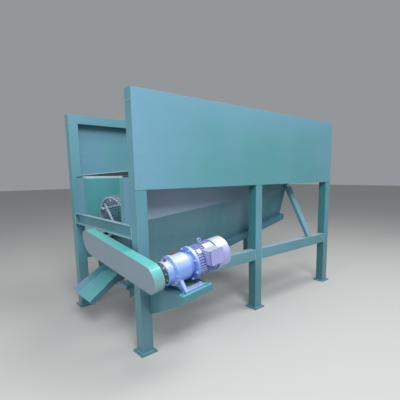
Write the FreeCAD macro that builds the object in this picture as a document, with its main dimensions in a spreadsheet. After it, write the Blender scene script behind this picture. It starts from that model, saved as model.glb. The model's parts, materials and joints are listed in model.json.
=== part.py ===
"""Stationary trommel screen on six feet.

A welded steel frame carries an inclined screen drum on a through shaft. A foot-mounted
gearmotor beside the front right post turns the shaft through a closed chain guard. Side sheets
close the upper half of the frame, hopper plates hang along both sides of the drum, and a slide
chute takes the oversize at the low front end.

Frame of reference: the origin is the middle of the underside of the front right foot, +X runs
from the drive end to the feed end, +Y from the right side to the left side, +Z up. All lengths
are in millimetres.
"""

import FreeCAD, Part
import math
import os

import Sketcher

doc = FreeCAD.newDocument("trommel_screen")

# Driving dimensions. Each row is a name and its value.
SIZES = (
    # Welded frame
    ("frame_length", 2900),
    ("frame_width", 1520),
    ("frame_height", 2145),
    ("post_size", 100),
    ("post_wall", 5),
    ("foot_size", 152),
    ("foot_thick", 14),
    ("top_rail_height", 90),
    ("low_rail_top", 677),
    ("low_rail_height", 115),
    ("low_rail_depth", 90),
    ("rail_wall", 5),
    ("cap_thick", 5),
    ("brace_width", 85),
    ("brace_depth", 45),
    ("brace_foot", 2426),
    ("brace_head", 2263),
    ("brace_drop", 155),
    ("beam_height", 113),
    ("beam_depth", 50),
    ("beam_web", 6),
    ("panel_height", 767),
    ("panel_thick", 3),
    # Drum axis and bearings
    ("drum_tilt", 8),
    ("axis_height", 885),
    ("bearing_drop", 83),
    ("bearing_length", 56),
    ("bearing_radius", 52),
    ("bearing_foot_width", 190),
    ("bearing_foot_thick", 20),
    ("seat_width", 210),
    ("seat_overhang", 8),
    ("running_clearance", 0.05),
    # Drum
    ("drum_start", 175),
    ("screen_length", 1900),
    ("shell_length", 240),
    ("ring_radius", 381),
    ("rod_size", 6),
    ("shell_thick", 3),
    ("shell_gap", 0.3),
    ("ring_width", 44),
    ("ring_thick", 10),
    ("bar_depth", 36),
    ("bar_thick", 8),
    ("shaft_radius", 32),
    ("shaft_end_gap", 10),
    ("shaft_rear", 2925),
    ("hub_radius", 62),
    ("hub_length", 70),
    ("arm_width", 22),
    ("arm_thick", 16),
    ("arm_phase", 34),
    # Hopper
    ("hopper_front", 98),
    ("hopper_rear", 2303),
    ("skirt_front", 43),
    ("skirt_inset", 190),
    ("skirt_drop", 655),
    ("skirt_depth", 424),
    ("skirt_flange", 50),
    ("skirt_return", 70),
    ("sheet_thick", 4),
    ("fold_slope", 5.94),
    ("plate_lean", 15),
    ("edge_front", 432),
    ("edge_rear", 964),
    ("edge_angle", 68),
    ("edge_angle_thick", 5),
    ("hanger_length", 70),
    ("hanger_thick", 8),
    # Oversize chute
    ("chute_offset", 75),
    ("chute_width", 420),
    ("chute_wall_left", 75),
    ("chute_wall_low", 45),
    ("chute_wall_high", 80),
    ("chute_wall_end", 150),
    ("chute_tray_wall", 20),
    ("chute_thick", 4),
    ("chute_slope", 33),
    ("chute_low_x", -160),
    ("chute_bend_z", 470),
    ("tray_slope", 11),
    ("tray_end", 300),
    ("chute_bar_size", 50),
    # Drive
    ("motor_offset", 298),
    ("motor_axis_height", 765),
    ("guard_gap", 34),
    ("guard_depth", 83),
    ("guard_wall", 3),
    ("guard_radius_drum", 122),
    ("guard_radius_motor", 110),
    ("guard_hole_gap", 6),
    ("platform_start", 92),
    ("platform_end", 380),
    ("platform_reach", 463),
    ("platform_height", 600),
    ("platform_thick", 8),
    ("platform_skirt", 50),
    ("gusset_foot", 340),
    ("gusset_thick", 8),
    ("bracket_width", 60),
    ("bracket_height", 8),
    ("guard_bracket_shift", 150),
    ("guard_collar_radius", 88),
    # Gearmotor
    ("drive_start", 30),
    ("nose_length", 65),
    ("nose_radius", 92),
    ("nose_step", 8),
    ("rim_thick", 22),
    ("rim_radius", 120),
    ("gear_length", 152),
    ("gear_radius", 110),
    ("bell_radius", 92),
    ("bell_length", 45),
    ("flange_thick", 22),
    ("flange_radius", 137),
    ("motor_length", 210),
    ("motor_radius", 126),
    ("fin_height", 14),
    ("fin_thick", 4),
    ("cover_length", 135),
    ("cover_radius", 132),
    ("cover_round", 22),
    ("box_start", 64),
    ("box_length", 125),
    ("box_height", 115),
    ("box_depth", 62),
    ("box_lift", 45),
    ("eye_start", 115),
    ("eye_radius", 20),
    ("foot_reach", 145),
    ("foot_strip", 62),
    ("foot_strip_thick", 20),
    ("foot_arch", 34),
    ("foot_web", 26),
    ("foot_length", 190),
)

sheet = doc.addObject("Spreadsheet::Sheet", "Sizes")
for row, (alias, value) in enumerate(SIZES, start=1):
    sheet.set("A%d" % row, alias)
    sheet.set("B%d" % row, str(value))
    sheet.setAlias("B%d" % row, alias)
doc.recompute()


def named(text):
    """Turn a rule written with bare size names into an expression on the sheet."""
    for alias in sorted((alias for alias, value in SIZES), key=len, reverse=True):
        text = text.replace("<%s>" % alias, "Sizes.%s" % alias)
    return text


def cell(alias):
    """The present value of a size."""
    return float(sheet.get(alias))


# Places that many pieces share
FRONT = "(-<post_size> / 2)"
REAR = "(<frame_length> - <post_size> / 2)"
RIGHT = "(-<post_size> / 2)"
MIDDLE = "(<frame_width> / 2 - <post_size> / 2)"
LEFT = "(<frame_width> - <post_size> / 2)"
TILT_COS = "cos(<drum_tilt> * 1 deg)"
TILT_SIN = "sin(<drum_tilt> * 1 deg)"
TILT_TAN = "tan(<drum_tilt> * 1 deg)"
SKIRT_TOP = "(<frame_height> - <skirt_drop>)"
SKIRT_HALF = "(<frame_width> / 2 - <post_size> - <skirt_inset>)"
DRUM_LENGTH = "(<screen_length> + <shell_length>)"
SIDES = (("right", 1), ("left", -1))
made = []


def side_y(sign, inset):
    """Y of a plane that lies so far inside the outer face of the posts on one side."""
    return "(%s + (%s))" % (RIGHT, inset) if sign > 0 else "(%s - (%s))" % (LEFT, inset)


def bind(thing, rules):
    """Bind properties of an object to rules on the sheet."""
    for prop, rule in rules.items():
        thing.setExpression(prop, named(rule))


def place(thing, x, y, z):
    bind(thing, {"Placement.Base.x": x, "Placement.Base.y": y, "Placement.Base.z": z})


def tilt(thing, x, y, z, angle="-<drum_tilt>"):
    """Place an object and turn it about the cross axis; a negative angle lifts its far end."""
    thing.Placement = FreeCAD.Placement(
        FreeCAD.Vector(0, 0, 0), FreeCAD.Rotation(FreeCAD.Vector(0, 1, 0), -1))
    place(thing, x, y, z)
    bind(thing, {"Placement.Rotation.Angle": "(%s) * 1 deg" % angle})


def on_axis(start_x, start_y, start_z, station, lift="0"):
    """The point so far along the drum's direction and so far square above it."""
    x = "(%s + (%s) * %s - (%s) * %s)" % (start_x, station, TILT_COS, lift, TILT_SIN)
    z = "(%s + (%s) * %s + (%s) * %s)" % (start_z, station, TILT_SIN, lift, TILT_COS)
    return x, start_y, z


def finished(thing, label):
    thing.Label = label
    made.append(thing)
    return thing


def block(name, length, width, height, x, y, z):
    box = doc.addObject("Part::Box", name)
    bind(box, {"Length": length, "Width": width, "Height": height})
    place(box, x, y, z)
    return box


def cut(name, base, tool):
    result = doc.addObject("Part::Cut", name)
    result.Base = base
    result.Tool = tool
    return result


def joined(name, shapes):
    result = doc.addObject("Part::Compound", name)
    result.Links = shapes
    return result


def new_body(name):
    body = doc.addObject("PartDesign::Body", name)
    return body


def plane_of(body, role):
    for feature in body.Origin.OriginFeatures:
        if feature.Role == role:
            return feature


def sketch_on(body, name, role, offset="0"):
    """A sketch on one of the body's own planes, moved along that plane's normal."""
    sketch = body.newObject("Sketcher::SketchObject", name)
    sketch.AttachmentSupport = (plane_of(body, role), [""])
    sketch.MapMode = "FlatFace"
    bind(sketch, {"AttachmentOffset.Base.z": offset})
    return sketch


def polygon(sketch, corners):
    """Straight outline whose corners are pairs of rules."""
    spots = []
    for index in range(len(corners)):
        spots.append(FreeCAD.Vector(10.0 * math.cos(index), 10.0 * math.sin(index), 0))
    count = len(corners)
    for index in range(count):
        sketch.addGeometry(Part.LineSegment(spots[index], spots[(index + 1) % count]), False)
    for index in range(count):
        sketch.addConstraint(Sketcher.Constraint(
            "Coincident", index, 2, (index + 1) % count, 1))
    for index, (across, up) in enumerate(corners):
        for kind, rule, value in (("DistanceX", across, spots[index].x),
                                  ("DistanceY", up, spots[index].y)):
            number = sketch.addConstraint(Sketcher.Constraint(kind, -1, 1, index, 1, value))
            constraint_name = "%s%d" % (kind[-1].lower(), index)
            sketch.renameConstraint(number, constraint_name)
            bind(sketch, {"Constraints.%s" % constraint_name: rule})


def pad(body, sketch, name, length, reverse=False, both=False):
    feature = body.newObject("PartDesign::Pad", name)
    feature.Profile = sketch
    bind(feature, {"Length": length})
    feature.Reversed = reverse
    feature.Midplane = both
    return feature


def prism(name, role, corners, length, offset="0", reverse=False, both=False):
    """A body made of one straight-sided outline, padded."""
    body = new_body(name)
    sketch = sketch_on(body, name + "_outline", role, offset)
    polygon(sketch, corners)
    pad(body, sketch, name + "_pad", length, reverse, both)
    return body


def turned(name, corners):
    """A body of revolution about its own X axis; corners are (station, radius)."""
    body = new_body(name)
    sketch = sketch_on(body, name + "_outline", "XZ_Plane")
    polygon(sketch, corners)
    feature = body.newObject("PartDesign::Revolution", name + "_turned")
    feature.Profile = sketch
    feature.ReferenceAxis = (sketch, ["H_Axis"])
    feature.Angle = 360
    return body


def lofted(name, stations, role="YZ_Plane"):
    """A body lofted between straight-sided sections on parallel planes."""
    body = new_body(name)
    sections = []
    for number, (offset, corners) in enumerate(stations):
        sketch = sketch_on(body, "%s_section_%d" % (name, number), role, offset)
        polygon(sketch, corners)
        sections.append(sketch)
    feature = body.newObject("PartDesign::AdditiveLoft", name + "_loft")
    feature.Profile = sections[0]
    feature.Sections = sections[1:]
    feature.Ruled = True
    return body


def tube_block(name, length, width, height, wall, along, x, y, z):
    """A square tube: a block less its bore, which runs along X or Z."""
    outer = block(name + "_outer", length, width, height, x, y, z)
    if along == "X":
        inner = block(name + "_bore", length, "%s - 2 * %s" % (width, wall),
                      "%s - 2 * %s" % (height, wall),
                      x, "%s + %s" % (y, wall), "%s + %s" % (z, wall))
    else:
        inner = block(name + "_bore", "%s - 2 * %s" % (length, wall),
                      "%s - 2 * %s" % (width, wall), height,
                      "%s + %s" % (x, wall), "%s + %s" % (y, wall), z)
    return cut(name, outer, inner)


# Posts and feet
POST_TOP = "(<frame_height> - <top_rail_height>)"
POST_LENGTH = "(%s - <foot_thick>)" % POST_TOP
STATIONS = (("front", "0"),
            ("middle", "(<frame_length> - <post_size>) / 2"),
            ("rear", "<frame_length> - <post_size>"))
feet = []
for side, sign in SIDES:
    post_y = side_y(sign, "0" if sign > 0 else "<post_size>")
    for spot, shift in STATIONS:
        name = "post_%s_%s" % (side, spot)
        post = tube_block(name, "<post_size>", "<post_size>", POST_LENGTH, "<post_wall>", "Z",
                          "%s + %s" % (FRONT, shift), post_y, "<foot_thick>")
        finished(post, name)
        overhang = "(<foot_size> - <post_size>) / 2"
        feet.append(block("foot_%s_%s" % (side, spot), "<foot_size>", "<foot_size>",
                          "<foot_thick>", "%s + %s - %s" % (FRONT, shift, overhang),
                          "%s - %s" % (post_y, overhang), "0"))
finished(joined("base_plates", feet), "base_plates")

# Rails along both sides
BAY = "((<frame_length> - 3 * <post_size>) / 2)"
for side, sign in SIDES:
    name = "top_rail_%s" % side
    rail_y = side_y(sign, "0" if sign > 0 else "<post_size>")
    pieces = [tube_block(name + "_tube", "<frame_length> - 2 * <cap_thick>", "<post_size>",
                         "<top_rail_height>", "<rail_wall>", "X", "%s + <cap_thick>" % FRONT,
                         rail_y, POST_TOP)]
    for end, cap_x in (("front", FRONT), ("rear", "%s - <cap_thick>" % REAR)):
        pieces.append(block("%s_cap_%s" % (name, end), "<cap_thick>", "<post_size>",
                            "<top_rail_height>", cap_x, rail_y, POST_TOP))
    finished(joined(name, pieces), name)
    name = "low_rail_%s" % side
    rail_y = side_y(sign, "0" if sign > 0 else "<low_rail_depth>")
    pieces = []
    for number, start in enumerate(("<post_size>", "2 * <post_size> + %s" % BAY)):
        pieces.append(tube_block("%s_%d" % (name, number), BAY, "<low_rail_depth>",
                                 "<low_rail_height>", "<rail_wall>", "X",
                                 "%s + %s" % (FRONT, start), rail_y,
                                 "<low_rail_top> - <low_rail_height>"))
    finished(joined(name, pieces), name)

# Braces of the rear bays lean from the low rail to the hopper skirt and are cut flush on both
BRACE_TOP = "(%s - <brace_drop>)" % SKIRT_TOP
SKIRT_BACK = "(<post_size> + <skirt_inset> - <sheet_thick>)"
for side, sign in SIDES:
    name = "brace_%s" % side
    stations = []
    for distance, inset, z in (("<brace_foot>", "0", "<low_rail_top>"),
                               ("<brace_head>", "(%s - <brace_depth>)" % SKIRT_BACK, BRACE_TOP)):
        x = "(%s + %s)" % (FRONT, distance)
        near_y = side_y(sign, inset)
        far_y = side_y(sign, "%s + <brace_depth>" % inset)
        stations.append((z, ((x, near_y), ("%s + <brace_width>" % x, near_y),
                             ("%s + <brace_width>" % x, far_y), (x, far_y))))
    finished(lofted(name, stations, "XY_Plane"), name)

# Cross beams: channels whose lips face out of the machine
BEAM_SPAN = "(<frame_width> - 2 * <post_size>)"
FRONT_BEAM_X = "(%s + <beam_depth> / 2)" % FRONT
REAR_BEAM_X = "(%s - <beam_depth> / 2)" % REAR
for name, centre_x, web_x, outer_x in (
        ("front_beam", FRONT_BEAM_X, "(%s + <beam_depth>)" % FRONT, FRONT),
        ("rear_beam", REAR_BEAM_X, "(%s - <beam_depth>)" % REAR, REAR)):
    low = "(<axis_height> + (%s - %s) * %s + <bearing_drop>)" % (centre_x, FRONT, TILT_TAN)
    high = "(%s + <beam_height>)" % low
    inward = "-" if name == "front_beam" else "+"
    inner_web = "(%s %s <beam_web>)" % (web_x, inward)
    corners = ((outer_x, low), (web_x, low), (web_x, high), (outer_x, high),
               (outer_x, "%s - <beam_web>" % high), (inner_web, "%s - <beam_web>" % high),
               (inner_web, "%s + <beam_web>" % low), (outer_x, "%s + <beam_web>" % low))
    finished(prism(name, "XZ_Plane", corners, BEAM_SPAN,
                   offset="-(%s)" % MIDDLE, both=True), name)

# Side sheets on the outside of the posts
for side, sign in SIDES:
    name = "side_panel_%s" % side
    panel_y = side_y(sign, "-<panel_thick>" if sign > 0 else "0")
    finished(block(name, "<frame_length>", "<panel_thick>", "<panel_height>", FRONT, panel_y,
                   "<frame_height> - <panel_height>"), name)

# Hopper: upright skirts with a flange, leaning lower plates and an angle along their edge
HOPPER_START = "(%s + <hopper_front>)" % FRONT
HOPPER_END = "(%s + <hopper_rear>)" % FRONT


def fold_z(distance):
    return "(%s - <skirt_depth> + %s * tan(<fold_slope> * 1 deg))" % (SKIRT_TOP, distance)


BEAM_TOP = "(<axis_height> + <beam_depth> / 2 * %s + <bearing_drop> + <beam_height>)" % TILT_TAN
SKIRT_START = "(%s + <skirt_front>)" % FRONT
LEAN = "tan(<plate_lean> * 1 deg)"
EDGE_RISE = "((<edge_rear> - <edge_front>) / (<hopper_rear> - <hopper_front>))"
for side, sign in SIDES:
    inward = "+" if sign > 0 else "-"
    outward = "-" if sign > 0 else "+"
    inner_y = "(%s %s %s)" % (MIDDLE, outward, SKIRT_HALF)

    name = "hopper_skirt_%s" % side
    body = new_body(name)
    outline = sketch_on(body, name + "_outline", "XZ_Plane", "-(%s)" % inner_y)
    polygon(outline, ((SKIRT_START, BEAM_TOP), (HOPPER_START, BEAM_TOP),
                      (HOPPER_START, fold_z("<hopper_front>")),
                      (HOPPER_END, fold_z("<hopper_rear>")),
                      (HOPPER_END, SKIRT_TOP), (SKIRT_START, SKIRT_TOP)))
    pad(body, outline, name + "_sheet", "<sheet_thick>", reverse=sign < 0)
    lip = sketch_on(body, name + "_lip", "XZ_Plane", "-(%s)" % inner_y)
    polygon(lip, ((SKIRT_START, "%s - <sheet_thick>" % SKIRT_TOP),
                  (HOPPER_END, "%s - <sheet_thick>" % SKIRT_TOP),
                  (HOPPER_END, SKIRT_TOP), (SKIRT_START, SKIRT_TOP)))
    pad(body, lip, name + "_flange", "<skirt_flange>", reverse=sign < 0)
    fold = sketch_on(body, name + "_return", "XZ_Plane", "-(%s)" % inner_y)
    polygon(fold, ((SKIRT_START, BEAM_TOP), ("%s + <sheet_thick>" % SKIRT_START, BEAM_TOP),
                   ("%s + <sheet_thick>" % SKIRT_START, SKIRT_TOP), (SKIRT_START, SKIRT_TOP)))
    pad(body, fold, name + "_return_pad", "<skirt_return>", reverse=sign > 0)
    finished(body, name)

    name = "hopper_plate_%s" % side
    sections = []
    angle_sections = []
    for x, distance, edge in ((HOPPER_START, "<hopper_front>", "<edge_front>"),
                              (HOPPER_END, "<hopper_rear>", "<edge_rear>")):
        top = fold_z(distance)
        shift = "(%s - %s) * %s" % (top, edge, LEAN)
        low_y = "(%s %s %s)" % (inner_y, inward, shift)
        sections.append((x, ((inner_y, top), (low_y, edge),
                             ("%s %s <sheet_thick>" % (low_y, outward), edge),
                             ("%s %s <sheet_thick>" % (inner_y, outward), top))))
        back_y = "(%s %s <sheet_thick>)" % (low_y, outward)
        heel_y = "(%s %s <edge_angle>)" % (back_y, outward)
        inner_leg = "(%s %s <edge_angle_thick>)" % (heel_y, inward)
        low = "(%s + <edge_angle_thick> - <edge_angle>)" % edge
        root_y = "(%s %s <edge_angle_thick> * %s)" % (back_y, outward, LEAN)
        angle_sections.append((x, (
            (back_y, edge), (root_y, "%s + <edge_angle_thick>" % edge),
            (heel_y, "%s + <edge_angle_thick>" % edge), (heel_y, low),
            (inner_leg, low), (inner_leg, edge))))
    finished(lofted(name, sections), name)
    finished(lofted("hopper_edge_%s" % side, angle_sections), "hopper_edge_%s" % side)

# Flat hangers under the skirt flanges: two a side from the posts, the rear one from the sheet
hangers = []
gap = "(<skirt_inset> - <sheet_thick>)"
for side, sign in SIDES:
    for number, (x, start) in enumerate((
            (SKIRT_START, "<post_size>"),
            ("(%s + (<frame_length> - <hanger_length>) / 2)" % FRONT, "<post_size>"),
            ("(%s - <hanger_length>)" % HOPPER_END, "0"))):
        width = "(%s + <post_size> - %s)" % (gap, start)
        hanger_y = side_y(sign, start if sign > 0 else "<post_size> + %s" % gap)
        hangers.append(block("hanger_%s_%d" % (side, number), "<hanger_length>", width,
                             "<hanger_thick>", x, hanger_y,
                             "%s - <sheet_thick> - <hanger_thick>" % SKIRT_TOP))
finished(joined("skirt_hangers", hangers), "skirt_hangers")

# Oversize chute: a steep slide that starts as a flatter tray under the lip of the drum
CHUTE_Y = "(%s + <chute_offset>)" % MIDDLE
SLIDE_RUN = "(<hopper_front> - <chute_low_x>)"
SLIDE_TAN = "tan(<chute_slope> * 1 deg)"
SLIDE_SIN = "sin(<chute_slope> * 1 deg)"
SLIDE_COS = "cos(<chute_slope> * 1 deg)"
TRAY_TAN = "tan(<tray_slope> * 1 deg)"
LOW_X = "(%s + <chute_low_x>)" % FRONT
LOW_Z = "(<chute_bend_z> - %s * %s)" % (SLIDE_RUN, SLIDE_TAN)
TRAY_X = "(%s + <tray_end>)" % FRONT


def tray_z(x):
    """Height of the tray's underside so far behind the front face."""
    return "(<chute_bend_z> + (%s - <hopper_front>) * %s)" % (x, TRAY_TAN)


TRAY_Z = tray_z("<tray_end>")
chute = new_body("discharge_chute")
floor = sketch_on(chute, "chute_floor", "XZ_Plane", "-(%s)" % CHUTE_Y)
polygon(floor, ((LOW_X, LOW_Z), (HOPPER_START, "<chute_bend_z>"), (TRAY_X, TRAY_Z),
                (TRAY_X, "%s + <chute_thick>" % TRAY_Z),
                (HOPPER_START, "<chute_bend_z> + <chute_thick>"),
                ("%s - <chute_thick> * %s" % (LOW_X, SLIDE_SIN),
                 "%s + <chute_thick> * %s" % (LOW_Z, SLIDE_COS))))
pad(chute, floor, "chute_floor_pad", "<chute_width>", both=True)
wall = sketch_on(chute, "chute_left", "XZ_Plane",
                 "-(%s + <chute_width> / 2)" % CHUTE_Y)
polygon(wall, ((LOW_X, LOW_Z), (HOPPER_START, "<chute_bend_z>"), (TRAY_X, TRAY_Z),
               (TRAY_X, "%s + <chute_wall_left>" % TRAY_Z),
               (HOPPER_START, "<chute_bend_z> + <chute_wall_left>"),
               ("%s - <chute_wall_left> * %s" % (LOW_X, SLIDE_SIN),
                "%s + <chute_wall_left> * %s" % (LOW_Z, SLIDE_COS))))
pad(chute, wall, "chute_left_pad", "<chute_thick>")
wall = sketch_on(chute, "chute_right", "XZ_Plane",
                 "-(%s - <chute_width> / 2)" % CHUTE_Y)
WALL_X = "(%s + <chute_wall_end>)" % FRONT
polygon(wall, ((LOW_X, LOW_Z), (HOPPER_START, "<chute_bend_z>"), (TRAY_X, TRAY_Z),
               (TRAY_X, "%s + <chute_tray_wall>" % TRAY_Z),
               (WALL_X, "%s + <chute_tray_wall>" % tray_z("<chute_wall_end>")),
               (WALL_X, "%s + <chute_wall_high>" % tray_z("<chute_wall_end>")),
               (HOPPER_START, "<chute_bend_z> + <chute_wall_high>"),
               ("%s - <chute_wall_low> * %s" % (LOW_X, SLIDE_SIN),
                "%s + <chute_wall_low> * %s" % (LOW_Z, SLIDE_COS))))
pad(chute, wall, "chute_right_pad", "<chute_thick>", reverse=True)
finished(chute, "discharge_chute")

# Bearings hung under the cross beams on tapered seats
AXIS_START = (FRONT, MIDDLE, "<axis_height>")
SEAT_RUN = "(<beam_depth> + 2 * <seat_overhang>)"
for end, centre_x in (("front", FRONT_BEAM_X), ("rear", REAR_BEAM_X)):
    axis_z = "(<axis_height> + (%s - %s) * %s)" % (centre_x, FRONT, TILT_TAN)
    beam_low = "(%s + <bearing_drop>)" % axis_z
    low_x = "(%s - %s / 2)" % (centre_x, SEAT_RUN)
    high_x = "(%s + %s / 2)" % (centre_x, SEAT_RUN)
    foot_top = "(<bearing_radius> + <bearing_foot_thick>) / %s" % TILT_COS
    slope = "%s / 2 * %s" % (SEAT_RUN, TILT_TAN)
    name = "%s_bearing_seat" % end
    finished(prism(name, "XZ_Plane",
                   ((low_x, "%s + %s - %s" % (axis_z, foot_top, slope)),
                    (high_x, "%s + %s + %s" % (axis_z, foot_top, slope)),
                    (high_x, beam_low), (low_x, beam_low)),
                   "<seat_width>", offset="-(%s)" % MIDDLE, both=True), name)

    name = "%s_bearing" % end
    body = new_body(name)
    outline = sketch_on(body, name + "_foot", "YZ_Plane")
    polygon(outline, (
        ("-<bearing_foot_width> / 2", "<bearing_radius>"),
        ("<bearing_foot_width> / 2", "<bearing_radius>"),
        ("<bearing_foot_width> / 2", "<bearing_radius> + <bearing_foot_thick>"),
        ("-<bearing_foot_width> / 2", "<bearing_radius> + <bearing_foot_thick>")))
    pad(body, outline, name + "_foot_pad", "<bearing_length>", both=True)
    housing = sketch_on(body, name + "_housing", "YZ_Plane")
    polygon(housing, (
        ("-<bearing_radius>", "0"), ("-<bearing_radius> * 0.7", "-<bearing_radius> * 0.7"),
        ("0", "-<bearing_radius>"), ("<bearing_radius> * 0.7", "-<bearing_radius> * 0.7"),
        ("<bearing_radius>", "0"), ("<bearing_radius> * 1.15", "<bearing_radius>"),
        ("-<bearing_radius> * 1.15", "<bearing_radius>")))
    pad(body, housing, name + "_housing_pad", "<bearing_length>", both=True)
    bore = sketch_on(body, name + "_bore", "YZ_Plane")
    bore.addGeometry(Part.Circle(FreeCAD.Vector(0, 0, 0), FreeCAD.Vector(0, 0, 1), 20), False)
    bore.addConstraint(Sketcher.Constraint("Coincident", 0, 3, -1, 1))
    number = bore.addConstraint(Sketcher.Constraint("Radius", 0, 20))
    bore.renameConstraint(number, "bore_radius")
    bind(bore, {"Constraints.bore_radius": "<shaft_radius> + <running_clearance>"})
    pocket = body.newObject("PartDesign::Pocket", name + "_bore_cut")
    pocket.Profile = bore
    pocket.Type = "ThroughAll"
    pocket.Midplane = True
    tilt(body, centre_x, MIDDLE, axis_z)
    finished(body, name)

# Drum: through shaft, spiders, rings, lengthwise bars, screen panels and the plain feed shell
DRUM_X, DRUM_Y, DRUM_Z = on_axis(*AXIS_START, "<drum_start>")
SHAFT_FRONT = "(<guard_gap> + <guard_depth> - <guard_wall> - <shaft_end_gap>)"
shaft = turned("drum_shaft", (("-%s" % SHAFT_FRONT, "0"),
                              ("<shaft_rear>", "0"),
                              ("<shaft_rear>", "<shaft_radius>"),
                              ("-%s" % SHAFT_FRONT, "<shaft_radius>")))
tilt(shaft, *AXIS_START)
finished(shaft, "drum_shaft")

RING_OUTER = "<ring_radius>"
RING_INNER = "(%s - <ring_thick>)" % RING_OUTER
ring_stations = (("ring_front", "0"),
                 ("ring_middle", "(<screen_length> - <ring_width>) / 2"),
                 ("ring_joint", "<screen_length> - <ring_width> / 2"),
                 ("ring_rear", "%s - <ring_width>" % DRUM_LENGTH))
for name, station in ring_stations:
    ring = turned(name, ((station, RING_INNER), ("%s + <ring_width>" % station, RING_INNER),
                         ("%s + <ring_width>" % station, RING_OUTER), (station, RING_OUTER)))
    tilt(ring, DRUM_X, DRUM_Y, DRUM_Z)
    finished(ring, name)

ARMS = 4
spiders = []
for spot, station in (ring_stations[0], ring_stations[1], ring_stations[3]):
    middle = "(%s + <ring_width> / 2)" % station
    hub = turned("hub_" + spot, (
        ("%s - <hub_length> / 2" % middle, "<shaft_radius>"),
        ("%s + <hub_length> / 2" % middle, "<shaft_radius>"),
        ("%s + <hub_length> / 2" % middle, "<hub_radius>"),
        ("%s - <hub_length> / 2" % middle, "<hub_radius>")))
    parts = [hub]
    for number in range(ARMS):
        arm = doc.addObject("Part::Box", "arm_%s_%d" % (spot, number))
        bind(arm, {"Length": "<arm_thick>", "Width": "<arm_width>",
                   "Height": "sqrt(%s ^ 2 - (<arm_width> / 2) ^ 2) - <hub_radius> + "
                             "<arm_thick> / 4" % RING_INNER})
        arm.Placement = FreeCAD.Placement(
            FreeCAD.Vector(0, 0, 0), FreeCAD.Rotation(FreeCAD.Vector(1, 0, 0), 10))
        turn = "(%d * 360 / %d - <arm_phase>)" % (number, ARMS)
        start = "(<hub_radius> - <arm_thick> / 4)"
        bind(arm, {"Placement.Rotation.Angle": "%s * 1 deg" % turn,
                   "Placement.Base.x": "%s - <arm_thick> / 2" % middle,
                   "Placement.Base.y": "-%s * sin(%s * 1 deg) - <arm_width> / 2 * "
                                       "cos(%s * 1 deg)" % (start, turn, turn),
                   "Placement.Base.z": "%s * cos(%s * 1 deg) - <arm_width> / 2 * "
                                       "sin(%s * 1 deg)" % (start, turn, turn)})
        parts.append(arm)
    spider = doc.addObject("Part::MultiFuse", "spider_" + spot[5:])
    spider.Shapes = parts
    tilt(spider, DRUM_X, DRUM_Y, DRUM_Z)
    finished(spider, "spider_" + spot[5:])

BARS = 8
bars = []
for number in range(BARS):
    bar = doc.addObject("Part::Box", "bar_%d" % number)
    turn = "(%d * 360 / %d)" % (number, BARS)
    inner = "(sqrt(%s ^ 2 - (<bar_thick> / 2) ^ 2) - <bar_depth>)" % RING_INNER
    bind(bar, {"Length": DRUM_LENGTH, "Width": "<bar_thick>", "Height": "<bar_depth>"})
    bar.Placement = FreeCAD.Placement(
        FreeCAD.Vector(0, 0, 0), FreeCAD.Rotation(FreeCAD.Vector(1, 0, 0), 10))
    bind(bar, {"Placement.Rotation.Angle": "%s * 1 deg" % turn,
               "Placement.Base.y": "-%s * sin(%s * 1 deg) - <bar_thick> / 2 * "
                                   "cos(%s * 1 deg)" % (inner, turn, turn),
               "Placement.Base.z": "%s * cos(%s * 1 deg) - <bar_thick> / 2 * "
                                   "sin(%s * 1 deg)" % (inner, turn, turn)})
    bars.append(bar)
bar_set = joined("drum_bars", bars)
tilt(bar_set, DRUM_X, DRUM_Y, DRUM_Z)
finished(bar_set, "drum_bars")

RODS = 72
rods = []
for number in range(RODS):
    rod = doc.addObject("Part::Box", "rod_%d" % number)
    turn = "(%d * 360 / %d)" % (number, RODS)
    bind(rod, {"Length": "<screen_length>", "Width": "<rod_size>", "Height": "<rod_size>"})
    rod.Placement = FreeCAD.Placement(
        FreeCAD.Vector(0, 0, 0), FreeCAD.Rotation(FreeCAD.Vector(1, 0, 0), 10))
    bind(rod, {"Placement.Rotation.Angle": "%s * 1 deg" % turn,
               "Placement.Base.y": "-%s * sin(%s * 1 deg) - <rod_size> / 2 * "
                                   "cos(%s * 1 deg)" % (RING_OUTER, turn, turn),
               "Placement.Base.z": "%s * cos(%s * 1 deg) - <rod_size> / 2 * "
                                   "sin(%s * 1 deg)" % (RING_OUTER, turn, turn)})
    rods.append(rod)
screen = joined("screen_panels", rods)
tilt(screen, DRUM_X, DRUM_Y, DRUM_Z)
finished(screen, "screen_panels")

SHELL_START = "(<screen_length> + <shell_gap>)"
SHELL_INNER = "(%s + <shell_gap>)" % RING_OUTER
SHELL_OUTER = "(%s + <shell_thick>)" % SHELL_INNER
shell = turned("feed_shell", ((SHELL_START, SHELL_INNER), (DRUM_LENGTH, SHELL_INNER),
                              (DRUM_LENGTH, SHELL_OUTER), (SHELL_START, SHELL_OUTER)))
tilt(shell, DRUM_X, DRUM_Y, DRUM_Z)
finished(shell, "feed_shell")

# Chain guard: a closed case round both shaft ends, wider at the drum
GUARD_BACK = "(-<guard_gap>)"
MOTOR_START = (FRONT, "(%s - <motor_offset>)" % RIGHT, "<motor_axis_height>")
GUARD_ACROSS = "(%s - %s)" % (MIDDLE, MOTOR_START[1])
GUARD_RISE = "((<axis_height> - <motor_axis_height>) * %s)" % TILT_COS


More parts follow.
